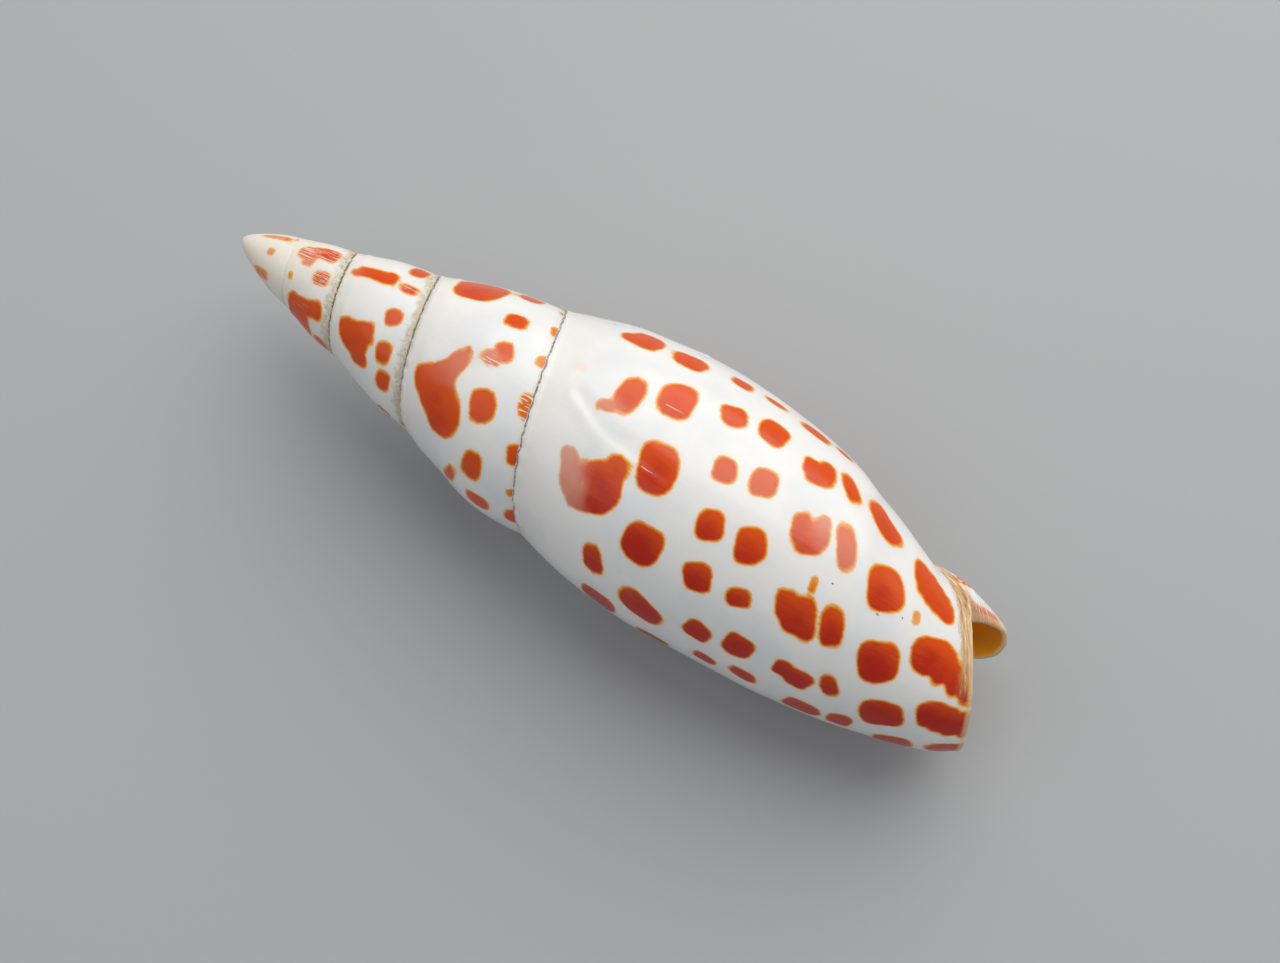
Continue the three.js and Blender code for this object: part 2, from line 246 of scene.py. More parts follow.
def whorl_radius(turn, x):
    """Outside of the whorl at a growth angle, before any other whorl hides it."""
    turn, x = np.broadcast_arrays(np.asarray(turn, float), np.asarray(x, float))
    s = size(turn)
    v = (x - suture(turn)) / (front(turn) - suture(turn))
    part = np.clip(v, 0, 1)
    cone = WORN_CONE_SLOPE * (x + POLE_AHEAD_OF_APEX)
    r = mix(cone, s * spire_outline(part), ramp(*WORN_CONE_FADE, x))
    before = SPIRE_OUTLINE_ENDS
    for at, outline in LAST_OUTLINES:
        r = mix(r, outline(part), ramp(before, at, turn))
        before = at
    w = (x - front(turn)) / np.maximum(front_end(turn) - front(turn), 1)
    taper = mix(1, horn_taper(w), ramp(*TAPER_SETS_IN, turn))
    r = np.where(v > 1, r * taper, r)
    return smooth_max(r, PILLAR_RADIUS * s ** PILLAR_GROWTH, PILLAR_BLEND)


def fold_height(turn, x):
    s = size(turn)
    unit = (x + POLE_AHEAD_OF_APEX) / s
    return sum(h * s * np.exp(-((unit - at) / FOLD_WIDTH) ** 2) for at, h in PILLAR_FOLDS)


def apex_shrink(x):
    return np.sqrt(np.clip(1 - np.maximum(1 - x / APEX_ROUNDING, 0) ** 2, 0, 1))


def outside_radius(turn, x):
    r = whorl_radius(turn, x) * apex_shrink(x)
    from_mouth = turn - MOUTH_START
    fold = fold_height(turn + TURN, x) * (1 - ramp(0, FOLD_FADE, from_mouth))
    return r + np.where(from_mouth >= 0, fold, 0)


def whorl_of(psi, x):
    """Growth angle of the whorl that shows at an angle round the axis and a place along it."""
    psi = np.where(psi > LIP_ANGLE, psi - TURN, psi)
    along = np.maximum((x + POLE_AHEAD_OF_APEX) / SUTURE_SCALE, 1e-6)
    turns = np.log(along) / math.log(GROWTH_PER_TURN)
    n = np.ceil(psi / TURN - turns - 1e-6)
    return psi - TURN * np.maximum(n, 0)


def place(turn, r, x):
    """Points in the shell's own frame: axis along X, angle 0 facing +Z."""
    turn, r, x = np.broadcast_arrays(turn, r, x)
    return np.stack([x, -r * np.sin(turn), r * np.cos(turn)], -1)


def add_object(name, data):
    """New object in the scene that holds the data."""
    made = bpy.data.objects.new(name, data)
    bpy.context.scene.collection.objects.link(made)
    return made


class Sheet:
    """Points and triangles of one closed body while it is put together."""

    def __init__(self):
        self.points = np.zeros((0, 3))
        self.faces = []

    def add(self, points):
        """Adds an array of points and returns their numbers in the same layout."""
        start = len(self.points)
        self.points = np.concatenate([self.points, points.reshape(-1, 3)])
        return start + np.arange(points[..., 0].size).reshape(points.shape[:-1])

    def strip(self, a, b):
        """Fills between chains of equal length, or between the columns of two arrays of them."""
        self.faces.append(np.stack([a[..., :-1], b[..., :-1], b[..., 1:]], -1).reshape(-1, 3))
        self.faces.append(np.stack([a[..., :-1], b[..., 1:], a[..., 1:]], -1).reshape(-1, 3))

    def fan(self, centre, ring):
        same = np.full(len(ring) - 1, centre)
        self.faces.append(np.stack([same, ring[:-1], ring[1:]], -1))

    def bridge(self, a, b):
        """Fills between two chains of different length that run the same way along X."""
        along = self.points[:, 0]
        i = j = 0
        made = []
        while i + 1 < len(a) or j + 1 < len(b):
            a_left, b_left = i + 1 < len(a), j + 1 < len(b)
            step_a = not b_left or (a_left and along[a[i + 1]] <= along[b[j + 1]])
            made.append((a[i], b[j], a[i + 1] if step_a else b[j + 1]))
            i, j = (i + 1, j) if step_a else (i, j + 1)
        self.faces.append(np.array(made))

    def to_object(self, name):
        faces = np.concatenate(self.faces)
        a, b, c = faces.T
        faces = faces[(a != b) & (b != c) & (c != a)]
        mesh = bpy.data.meshes.new(name)
        mesh.from_pydata(self.points.tolist(), [], faces.tolist())
        return add_object(name, mesh)


def round_over(distance, radius):
    """How far a surface drops as it comes within a radius of its rim."""
    t = np.clip(1 - distance / radius, 0, 1)
    return radius * (1 - np.sqrt(np.maximum(1 - t * t, 0)))


def turn_parts():
    """Column places within one turn, closer together just before the lip."""
    even = np.arange(COLUMNS_PER_TURN) / COLUMNS_PER_TURN
    near_lip = 1 - np.array(DEGREES_BEFORE_LIP) / 360
    return np.unique(np.concatenate([even, near_lip]))


def eased_rows(count, ease=SPIRE_ROW_EASE):
    """Rows from 0 to 1, closer together at both ends."""
    even = np.linspace(0, 1, count)
    return mix(even, 0.5 - 0.5 * np.cos(np.pi * even), ease)


def last_rows(turn):
    """Row places of the last whorl: suture, the lip's suture, front edge, end."""
    start, end = suture(turn), front_end(turn)
    split = ((suture(LIP_ANGLE) - suture(MOUTH_START))
             / (front_end(MOUTH_START) - suture(MOUTH_START)))
    crease = np.minimum((front(turn) - start) / (end - start), LATEST_CREASE)
    body = np.linspace(0, 1, LAST_ROW_COUNT + 1)[1:]
    tip = np.linspace(0, 1, FRONT_ROW_COUNT + 1)[1:]
    tip = mix(tip, np.sin(tip * np.pi / 2), FRONT_ROW_EASE)
    rows = np.concatenate([eased_rows(SPIRE_ROW_COUNT) * split,
                           split + (crease - split) * body, crease + (1 - crease) * tip])
    return start + rows * (end - start)


def rim_drop(turn, x):
    """Rounding of the outside at the lip and at the front end."""
    to_lip = (LIP_ANGLE - turn) * whorl_radius(turn, x)
    lip = round_over(to_lip, RIM_ROUNDING) * ramp(0, LIP_ROUNDING_FADE, x - suture(turn))
    return lip + round_over(front_end(turn) - x, FRONT_RIM_ROUNDING)


def skin():
    """Closed skin of all whorls as one winding band, with the mouth closed flat."""
    sheet = Sheet()
    parts = turn_parts()
    per_turn = len(parts)
    spire_columns = WHORLS_ABOVE_LAST * per_turn
    whorls = WHORLS_ABOVE_LAST + 1
    turns = np.concatenate([k + parts for k in range(whorls)] + [[whorls]])
    turn = LIP_ANGLE + (turns - whorls) * TURN
    upper = turn - TURN * np.minimum(turns, 1)
    edge_x = suture(turn)
    edge = sheet.add(place(turn, outside_radius(upper, edge_x), edge_x))

    rows = eased_rows(SPIRE_ROW_COUNT)
    spire_turn = turn[:spire_columns, None]
    span = suture(spire_turn + TURN) - suture(spire_turn)
    x = suture(spire_turn) + rows[None, 1:-1] * span
    inner = sheet.add(place(spire_turn, outside_radius(spire_turn, x), x))
    lower_edge = edge[per_turn:, None][:spire_columns]
    spire = np.concatenate([edge[:spire_columns, None], inner, lower_edge], 1)

    last = []
    for k, t in enumerate(turn[spire_columns:]):
        x = last_rows(t)
        ids = sheet.add(place(t, outside_radius(t, x) - rim_drop(t, x), x))
        ids[0] = edge[spire_columns + k]
        if k == 0:
            ids[SPIRE_ROW_COUNT - 1] = edge[-1]
        last.append(ids)
    last = np.array(last)
    sheet.strip(spire[:-1], spire[1:])
    sheet.strip(spire[-1], last[0, :SPIRE_ROW_COUNT])
    sheet.strip(last[:-1], last[1:])
    close_apex(sheet, turn[:per_turn + 1], upper[:per_turn + 1], edge[:per_turn + 1], spire[0])
    sheet.bridge(last[-1], last[0, SPIRE_ROW_COUNT - 1:])
    middle = sheet.add(np.array([[float(front_end(MOUTH_START)), 0, 0]]))[0]
    ends = last[:, -1]
    sheet.fan(middle, np.append(ends, ends[0]))
    return sheet


def close_apex(sheet, turn, upper, edge, start_column):
    """Rounded end of the spire inside the first turn of the band."""
    low = suture(turn[0])
    rows = eased_rows(SPIRE_ROW_COUNT)[1:-1]
    x = low + rows[None, :] * (suture(turn[1:-1, None]) - low)
    inner = sheet.add(place(turn[1:-1, None], outside_radius(upper[1:-1, None], x), x))
    first = np.full(SPIRE_ROW_COUNT, edge[0])
    rim_turn = turn[1:-1]
    rim = sheet.add(place(rim_turn, outside_radius(upper[1:-1], low + 0 * rim_turn), low))
    middle = np.concatenate([rim[:, None], inner, edge[1:-1, None]], 1)
    grid = np.concatenate([first[None], middle, start_column[None]])
    sheet.strip(grid[:-1], grid[1:])
    ring = np.concatenate([[edge[0]], rim, [edge[0]]])
    for share in 1 - (np.arange(1, TIP_RINGS) / TIP_RINGS):
        at = low * share ** 2
        points = place(turn[:-1], outside_radius(upper[:-1], at + 0 * turn[:-1]), at)
        next_ring = sheet.add(points)
        next_ring = np.append(next_ring, next_ring[0])
        sheet.strip(np.stack([next_ring[:-1], ring[:-1]], 1), np.stack([next_ring[1:], ring[1:]], 1))
        ring = next_ring
    tip = sheet.add(np.zeros((1, 3)))[0]
    sheet.fan(tip, ring[::-1])


def floor_radius(turn, x):
    return whorl_radius(turn - TURN, x) + fold_height(turn, x)


def roof_radius(turn, x):
    return whorl_radius(turn, np.minimum(x, front(turn))) * apex_shrink(x) - wall(turn)


def chamber_span(turn):
    """Where along X the chamber is open at one growth angle."""
    closed_end = front(turn) - CLOSED_END_LENGTH * size(turn)
    end = mix(closed_end, front(turn) + OPEN_END_OVERRUN, ramp(*END_OPENS, turn))
    x = np.linspace(suture(turn), end, SPAN_SEARCH_STEPS)
    roomy = x[roof_radius(turn, x) - floor_radius(turn, x) > NARROWEST_CHAMBER]
    return roomy[0], roomy[-1]


def chamber_loop(sheet, turn, shown, flare):
    """Floor and roof of the chamber at one growth angle, flared where it meets the lip."""
    low, high = chamber_span(turn)
    x = mix(low, high, eased_rows(CHAMBER_ROW_COUNT, CHAMBER_ROW_EASE))
    lift = MOUTH_LIFT if shown > turn else 0
    top = roof_radius(turn, x)
    bottom = np.minimum(floor_radius(turn, x) + lift, top - THINNEST_CHAMBER_LOOP)
    top = top + flare * ramp(0, FLARE_FADE, top - bottom)
    return sheet.add(place(shown, bottom, x)), sheet.add(place(shown, top, x))


def chamber():
    """Hollow that winds back from the mouth between each whorl and the one inside it."""
    sheet = Sheet()
    deep = np.linspace(LIP_ANGLE - CHAMBER_TURNS * TURN, NEAR_LOOPS_START, DEEP_LOOP_COUNT)
    near = np.linspace(NEAR_LOOPS_START, NEAR_LOOPS_END, NEAR_LOOP_COUNT)[1:]
    rim = LIP_ANGLE - deg(1) * np.array(RIM_LOOPS_BEFORE_LIP)
    loops = []
    for t in np.concatenate([deep, near, rim]):
        to_lip = (LIP_ANGLE - t) * UNROLLED_RADIUS
        loops.append(chamber_loop(sheet, t, t, float(round_over(to_lip, RIM_ROUNDING))))
    loops.append(chamber_loop(sheet, LIP_ANGLE, LIP_ANGLE, RIM_ROUNDING * LAST_LOOP_FLARE))
    loops.append(chamber_loop(sheet, LIP_ANGLE, LIP_ANGLE + MOUTH_OVERLAP, RIM_ROUNDING))
    rings = [np.concatenate([f, r[::-1], f[:1]]) for f, r in loops]
    for older, newer in zip(rings[:-1], rings[1:]):
        sheet.strip(newer, older)
    sheet.strip(*loops[0])
    sheet.strip(*loops[-1][::-1])
    return sheet


def canal():
    """Trumpet-shaped hollow that opens the spout, drawn in where the wall needs its thickness."""
    sheet = Sheet()
    offset = curve([(s[0], s[1]) for s in CANAL_STATIONS])
    radius = curve([(s[0], s[2]) for s in CANAL_STATIONS])
    x = np.linspace(CANAL_STATIONS[0][0], CANAL_STATIONS[-1][0], CANAL_RINGS)
    around = np.arange(CANAL_SIDES) * TURN / CANAL_SIDES
    middle = place(CANAL_DIRECTION, offset(x), x)
    points = middle[:, None, :] + place(around[None, :], radius(x)[:, None], 0 * x[:, None])
    angle = np.arctan2(-points[..., 1], points[..., 2])
    turn = np.where(angle > LIP_ANGLE, angle - TURN, angle)
    reach = np.hypot(points[..., 1], points[..., 2])
    share = np.minimum((outside_radius(turn, points[..., 0]) - CANAL_WALL) / reach, 1)
    points[..., 1:] *= share[..., None]
    rings = sheet.add(points)
    rings = np.concatenate([rings, rings[:, :1]], 1)
    sheet.strip(rings[1:], rings[:-1])
    ends = sheet.add(middle[[0, -1]])
    sheet.fan(ends[0], rings[0][::-1])
    sheet.fan(ends[1], rings[-1])
    return sheet


def cut(body, tool):
    """Takes the tool's volume out of the body and drops the tool."""
    step = body.modifiers.new("cut", "BOOLEAN")
    step.operation = "DIFFERENCE"
    step.solver = "MANIFOLD"
    step.object = tool
    graph = bpy.context.evaluated_depsgraph_get()
    made = bpy.data.meshes.new_from_object(body.evaluated_get(graph))
    body.modifiers.clear()
    body.data = made
    bpy.data.objects.remove(tool)


def resting_place():
    """Matrix from the shell's own frame, in millimetres, to the frame's place on the floor."""
    turned = Matrix.Rotation(REST_PITCH, 4, "Y") @ Matrix.Rotation(REST_ROLL, 4, "X")
    tip = min((v.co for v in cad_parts["shell"].data.vertices), key=lambda co: co.x)
    return Matrix.Translation(tip) @ turned @ Matrix.Scale(MM, 4)


# The spots are listed one by one, row by row. Each is an oval, and an odd shape is a few ovals
# that run together. An oval gives its growth angle in degrees and its place along the spiral
# (55.5 at the suture, about 115 at the front edge), its half length along the shell and half
# width round it in millimetres, its lean in degrees, and how ripe, faded and worn it is. With
# no lean given, its edges lie along the slanted growth lines and the winding rows.
RIPE = 1.0
SLANT = -24
SHOULDER_ROW = (
    (-64, 67.1, 2.0, 2.4, 0), (-62, 64.8, 1.4, 1.3, 0), (-27, 66.9, 2.8, 1.7, -86),
    (-18, 64.7, 1.5, 0.9, SLANT, RIPE, 0.6), (45, 67.4, 1.45, 2.3), (72, 67.6, 2.6, 2.6, 0))
RED_BLOTCH = (
    (12, 66.9, 2.5, 3.0), (3, 68.1, 1.4, 1.6), (19, 66.4, 2.2, 2.0),
    (16, 62.6, 1.4, 2.4, SLANT, RIPE, 0.6), (9, 61.8, 1.1, 1.1, 0, RIPE, 0.8),
    (23, 64.2, 1.2, 1.6, 0, RIPE, 0.5))
SECOND_ROW = (
    (-62, 73.2, 2.4, 1.9, 0), (-35, 72.9, 2.35, 2.7, -10), (-5, 72.9, 2.5, 3.2, -15),
    (25, 73.3, 2.5, 2.75, 0), (55, 73.8, 3.3, 2.1, 21), (80, 74.3, 2.4, 1.6, 0))
# Painted highlight, partly: at about -14 to -22 degrees the spots of the third to sixth rows and the
# faded twin are paler and pinker where the glossy band crosses them; their ripe and faded values are
# partly wear and partly painted highlight.
THIRD_ROW = (
    (-66, 80.9, 1.6, 1.2, 0), (-42, 80.5, 1.8, 1.7), (-18, 81.0, 1.5, 1.7, -15, 0.7, 0.1),
    (4, 80.9, 1.8, 1.9), (25, 80.7, 1.85, 1.95), (50, 81.3, 1.9, 1.7, 15), (68, 81.8, 1.6, 1.3, 10))
FOURTH_ROW = (
    (-68, 86.1, 1.7, 0.8, 0), (-46, 86.1, 2.0, 2.1, 5), (-22, 86.1, 1.75, 1.9, -15, 0.7, 0.15),
    (3, 86.2, 1.9, 2.35), (24, 86, 1.65, 1.3), (46, 86.5, 1.95, 2.0, 5), (64, 86.8, 1.9, 1.4, 5))
FIFTH_ROW = (
    (-67, 92.6, 2.3, 1.2, 0), (-42, 92.0, 1.3, 1.5, -10), (-45, 94.2, 1.3, 1.6, -10),
    (-40, 93.2, 2.0, 1.5), (46, 92.2, 1.4, 1.4, 0), (48, 94.0, 1.8, 1.7, 10), (71, 93.6, 2.4, 2.2, 5))
FADED_AND_SHEEN_TWIN = (
    (-14, 92.0, 1.4, 2.0, SLANT, RIPE, 0.1), (-16, 94.3, 1.3, 2.0, SLANT, RIPE, 0.35),
    (-22, 94.8, 0.8, 0.9, SLANT, RIPE, 0.7), (-10, 93.1, 1.8, 1.4))
LARGE_TWIN = (
    (17, 91.8, 1.4, 2.1), (19, 93.3, 2.1, 2.4), (21, 94.4, 1.3, 2.0), (15, 94.1, 1.4, 1.8),
    (4, 94.6, 0.5, 1.1, -10, 0.3))
SIXTH_ROW = (
    (-70, 97.5, 1.4, 0.8, 0), (-46, 97.9, 1.1, 2.3, -40), (-18, 98.0, 1.3, 2.9, -30, RIPE, 0.25),
    (16, 97.6, 1.45, 2.7), (44, 97.8, 1.15, 1.8, -30), (69, 98.2, 1.6, 2.0, 0))
SEVENTH_ROW = (
    (-44, 103.6, 3.1, 1.7, 30), (-12, 103.9, 2.35, 2.85, -28), (21.5, 103.6, 2.5, 2.7),
    (50, 103.8, 2.6, 2.4, -20), (76, 103.8, 2.5, 2.0, -10))
FRONT_ROW = (
    (-36, 109.6, 1.2, 1.8), (-33, 110.5, 1.7, 2.1), (-30, 111.4, 1.8, 2.0), (-27, 112.3, 1.6, 1.7),
    (-24, 113.2, 1.2, 1.4), (-8, 108.3, 0.5, 0.8, SLANT, 0.25), (6, 110.5, 2.5, 2.4),
    (8, 112.2, 1.7, 2.3, -28), (12, 113.4, 1.3, 2.4, -36), (16, 114.3, 0.9, 2.5, -40),
    (39, 110.0, 1.8, 2.0), (41, 111.3, 2.0, 2.0), (42, 112.6, 2.0, 2.0), (42, 114.2, 1.6, 2.0),
    (72, 110.3, 2.9, 1.8, -5))
HORN_STREAKS = (
    (-78, 120.4, 1.3, 1.4, 0, RIPE, 0.15, 0.7), (-60, 121.7, 2.2, 0.6, -43, RIPE, 0.3, 0.6),
    (-74, 125.5, 2.0, 0.7, -43, RIPE, 0.3, 0.6))
SECOND_WHORL = (
    (-421, 64.6, 3.2, 3.4, 0), (-431, 74.7, 1.7, 1.5, 0), (-399, 73.9, 1.6, 1.3, -10),
    (-378, 74.0, 1.3, 1.5), (-372, 72.2, 1.3, 1.1, 0, RIPE, 0.6, 0.8),
    (-349, 73.5, 1.8, 2.15), (-318, 73.8, 1.5, 2.2, -5), (-300, 68.6, 0.9, 2.2, 10),
    (-295, 74.6, 1.8, 1.6, 0))
BIG_BLOTCH = (
    (-343, 61.2, 1.8, 2.2), (-339, 64, 2.6, 2.8), (-331, 65.9, 2.4, 2.6), (-336, 67.2, 1.9, 2.3),
    (-352, 64, 2.0, 1.7, -50, RIPE, 0.15), (-360, 66, 2.3, 1.35, -73, RIPE, 0.4),
    (-370, 67.5, 0.6, 0.6, 0, RIPE, 0.3))
LAST_SEAM_ROW = (
    (-428, 82.2, 0.7, 0.6), (-405, 82.0, 0.8, 1.0, SLANT, 0.35),
    (-384, 82.0, 1.2, 0.9, SLANT, 0.3), (-360, 81.8, 1.3, 1.7, SLANT, 0.4, 0, 1),
    (-336, 81.8, 1.3, 1.4), (-315, 82.0, 0.8, 0.7, SLANT, 0.35), (-297, 81.8, 1.3, 1.5, 0))
THIRD_WHORL = (
    (-752, 58.8, 0.7, 0.6, 0, RIPE, 0.4), (-757, 61.3, 1.2, 1.0, -10), (-757, 65, 1.6, 1.0, 0),
    (-758, 69, 1.2, 1.25, 0), (-784, 76.4, 1.25, 1.7, 0), (-755, 76, 1.35, 0.8, 0, RIPE, 0, 0.6),
    (-727, 75, 1.25, 1.2, SLANT, 0.7, 0.1), (-696, 61.5, 1.2, 1.6), (-704, 68.4, 1.2, 1.6),
    (-695, 65, 2.3, 2.2), (-682, 67.2, 1.4, 1.4), (-699, 75, 1.2, 1.5, -10), (-678, 76, 1.1, 1.65, -5))
OLDEST_WHORLS = (
    (-1115, 63.5, 1.5, 1.35, -10, RIPE, 0.2, 1), (-1123, 71.5, 1.7, 1.3, 0, RIPE, 0, 0.8),
    (-1100, 64.5, 0.8, 0.7, 0, RIPE, 0.7), (-1087, 73.3, 1.2, 1.05, -15, RIPE, 0.15, 1),
    (-1037, 64, 1.7, 1.6, 0, RIPE, 0, 0.35), (-1045, 69.5, 1.3, 1.2, 0, RIPE, 0, 0.35),
    (-1050, 74.3, 1.1, 1.4), (-1020, 65, 2.0, 2.0, 0), (-1008, 66.5, 1.6, 2.0, 0),
    (-1004, 76, 1.2, 1.6, 0), (-1069, 58.5, 0.35, 0.5, SLANT, 0.3),
    (-1490, 67, 1.9, 0.45, 0, 0.5, 0.3, 0.9), (-1447, 68, 0.5, 0.5, 0, 0.4, 0.5),
    (-1391, 63, 1.4, 0.8, SLANT, 0.4, 0.2, 0.6))
SHOWN_SPOTS = (
    SHOULDER_ROW + RED_BLOTCH + SECOND_ROW + THIRD_ROW + FOURTH_ROW + FIFTH_ROW + FADED_AND_SHEEN_TWIN
    + LARGE_TWIN + SIXTH_ROW + SEVENTH_ROW + FRONT_ROW + HORN_STREAKS + SECOND_WHORL + BIG_BLOTCH
    + LAST_SEAM_ROW + THIRD_WHORL + OLDEST_WHORLS)
# Rows that carry the pattern on where the photographed side ends: place along the spiral,
# degrees between spots, half length and half width for a whorl of unit size
LAST_WHORL_ROWS = (
    (67.0, 34, 2.1, 2.9), (73.4, 29, 2.9, 2.6), (81.0, 23, 2.0, 1.9), (86.2, 23, 2.1, 2.0),
    (93.0, 30, 2.6, 2.4), (98.2, 30, 1.3, 2.6), (103.8, 31, 2.8, 2.7), (110.5, 35, 2.7, 2.6))
SPIRE_ROWS = ((65.2, 62, 3.6, 4.4), (74.0, 27, 2.2, 1.9), (82.0, 24, 1.5, 1.8))
LAST_WHORL_HIDDEN = ((-200, -84), (92, 136))
SPIRE_HIDDEN = (
    (-565, -445), (-276, -224), (-925, -805), (-655, -600), (-1290, -1140), (-985, -950), (-1640, -1490))
# How much they vary: the first one's place and the spacing and sizes as shares, then the place
# along the spiral and the lean in degrees
PATTERN_SEED = 7
FIRST_PLACE = (0.2, 0.8)
SPACING_SPREAD = (0.85, 1.15)
SIZE_SPREAD = (0.82, 1.15)
ROW_WANDER = (-0.6, 0.6)
LEAN_SPREAD = (-40, 40)
# A spot is between an oval (2) and a rectangle (much more), and its edge has a few low waves:
# how many there are round it, and their height as a share of it
SPOT_SQUARENESS = 3.0
EDGE_WAVES = ((2, 0.03), (3, 0.03), (5, 0.015))
# Millimetres over which neighbouring ovals run together, in outline and in colour
SPOT_BLEND = 0.35
COLOUR_BLEND = 3.0
# How many times its size, plus a millimetre, a spot counts, and the depth where there is none
SPOT_REACH = 3
NO_SPOT = -3.0
# Lines on the last whorl as places along the spiral and growth angles: the low step of a healed
# break, the two pale scratches across the spots of the second row, and a dark growth line
HEALED_BREAK = ((60.5, -15), (65.7, -5), (70.3, -3), (74.5, -1))
SCRATCHES = (((70.3, -3), (74.5, -1)), ((70.8, -31), (75.5, -30)))
DARK_LINE = ((79, -23), (84, -23), (88, -24))
# Dark pinholes and a faint peach stain: growth angle and place along the spiral
PINHOLES = ((-72, 60.8), (-74, 62.2), (-353, 70.7), (-1, 97), (1, 103.1), (-3.5, 106.3))
PEACH_STAIN = (-30, 60)


def hidden_spots():
    """Spots that carry each row on round the sides that the photographed view hides."""
    draw = np.random.default_rng(PATTERN_SEED)
    spots = []
    for rows, stretches in ((LAST_WHORL_ROWS, LAST_WHORL_HIDDEN), (SPIRE_ROWS, SPIRE_HIDDEN)):
        for low, high in stretches:
            for unit, spacing, length, width in rows:
                turn = low + spacing * draw.uniform(*FIRST_PLACE)
                while turn < high:
                    grown = float(size(deg(turn)))
                    stretch, widen = draw.uniform(*SIZE_SPREAD, 2) * grown
                    along = unit + draw.uniform(*ROW_WANDER)
                    lean = draw.uniform(*LEAN_SPREAD)
                    spots.append((turn, along, length * stretch, width * widen, lean))
                    turn += spacing * draw.uniform(*SPACING_SPREAD)
    return tuple(spots)


class Spots:
    """Fields of the spots over the surface: depth inside the nearest spot, and its colour."""

    def __init__(self, turn, x):
        self.turn, self.x = turn, x
        self.depth = np.full(len(turn), NO_SPOT)
        self.looks = {name: np.zeros(len(turn)) for name in ("faded", "worn", "side")}
        self.looks["ripe"] = np.ones(len(turn))
        self.draw = np.random.default_rng(PATTERN_SEED)

    def add(self, turn, unit, length, width, lean=SLANT, ripe=RIPE, faded=0, worn=0):
        """Adds one oval; where it is deeper than what is there, its own colour shows."""
        turn = deg(turn)
        x = unit * float(size(turn)) - POLE_AHEAD_OF_APEX
        radius = float(outside_radius(turn, x))
        phases = self.draw.uniform(0, TURN, len(EDGE_WAVES))
        reach = SPOT_REACH * (max(length, width) + 1)
        near = (np.abs(self.turn - turn) * radius < reach) & (np.abs(self.x - x) < reach)
        along = self.x[near] - x
        across = (self.turn[near] - turn) * radius
        c, s = math.cos(deg(lean)), math.sin(deg(lean))
        p = (along * c + across * s) / length
        q = (across * c - along * s) / width
        angle = np.arctan2(q, p)
        wobble = 1 + sum(
            height * np.sin(waves * angle + phase)
            for (waves, height), phase in zip(EDGE_WAVES, phases))
        power = SPOT_SQUARENESS
        out = (np.abs(p) ** power + np.abs(q) ** power) ** (1 / power) * wobble
        depth = (1 - out) * min(length, width)
        old = self.depth[near]
        share = np.clip(0.5 + (depth - old) / COLOUR_BLEND, 0, 1)
        self.depth[near] = np.maximum(smooth_max(depth, old, SPOT_BLEND), NO_SPOT)
        side = np.clip(across / max(width, length), -1, 1)
        for name, value in (("ripe", ripe), ("faded", faded), ("worn", worn), ("side", side)):
            look = self.looks[name]
            look[near] = mix(look[near], value, share)


def distance_to(turn, x, angle, unit):
    """Millimetres from one named place on the shell's outside."""
    at = unit * float(size(deg(angle))) - POLE_AHEAD_OF_APEX
    return np.hypot(x - at, (turn - deg(angle)) * float(outside_radius(deg(angle), at)))


def line_distance(turn, unit, line, fade):
    """Millimetres past a line of growth angles at places along the spiral, MARK_REACH off its ends."""
    gap = (turn - deg(1) * curve(line)(unit)) * UNROLLED_RADIUS
    start, end = line[0][0], line[-1][0]
    inside = ramp(start - fade, start, unit) * ramp(end + fade, end, unit)
    return mix(MARK_REACH, np.clip(gap, -MARK_REACH, MARK_REACH), inside)


def surface_fields(points):
    """What the relief and the paint need to know of every point of the shell, by name."""
    x, y, z = points.T
    psi = np.arctan2(-y, z)
    turn = whorl_of(psi, x)
    unit = (x + POLE_AHEAD_OF_APEX) / size(turn)
    gap = outside_radius(turn, x) - np.hypot(y, z)
    spots = Spots(turn, x)
    for spot in SHOWN_SPOTS + hidden_spots():
        spots.add(*spot)
    behind = x - suture(turn)
    ahead = np.where(turn + TURN <= LIP_ANGLE, suture(turn + TURN) - x, NO_SEAM_AHEAD)
    in_last_turn = turn > MOUTH_START
    glazed = ramp(*GLAZE_FADE, turn - MOUTH_START) * in_last_turn
    past_crease = np.where(in_last_turn, x - front(turn), -BODY_REACH)
    before_rim = np.where(in_last_turn, front_end(turn) - x, RIM_REACH)
    scratches = [np.abs(line_distance(turn, unit, line, fade=0.4)) for line in SCRATCHES]
    holes = [distance_to(turn, x, *hole) for hole in PINHOLES]
    return {
        "spot": np.where(gap > DEEPEST_SPOT, NO_SPOT, mix(spots.depth, NO_SPOT, glazed)),
        **spots.looks,
        "behind": np.clip(behind, 0, WHORL_REACH), "ahead": np.clip(ahead, 0, WHORL_REACH),
        "seam": np.where(
            behind < ahead, np.clip(behind, 0, SEAM_REACH), -np.clip(ahead, 0, SEAM_REACH)),
        "seam_near": ramp(*SEAM_FADE, np.minimum(behind, ahead)),
        "inside": ramp(*LINING_FADE, gap), "glazed": glazed, "along": x,
        "crease": np.clip(past_crease, -BODY_REACH, HORN_REACH), "growth": np.degrees(turn),
        "to_rim": np.clip(before_rim, 0, RIM_REACH),
        "healed": line_distance(turn, unit, HEALED_BREAK, fade=2),
        "scratch": np.min(scratches, axis=0),
        "dark_line": np.abs(line_distance(turn, unit, DARK_LINE, fade=1)),
        "pinhole": np.clip(np.min(holes, axis=0), 0, MARK_REACH),
        "peach": np.clip(distance_to(turn, x, *PEACH_STAIN), 0, MARK_REACH),
    }


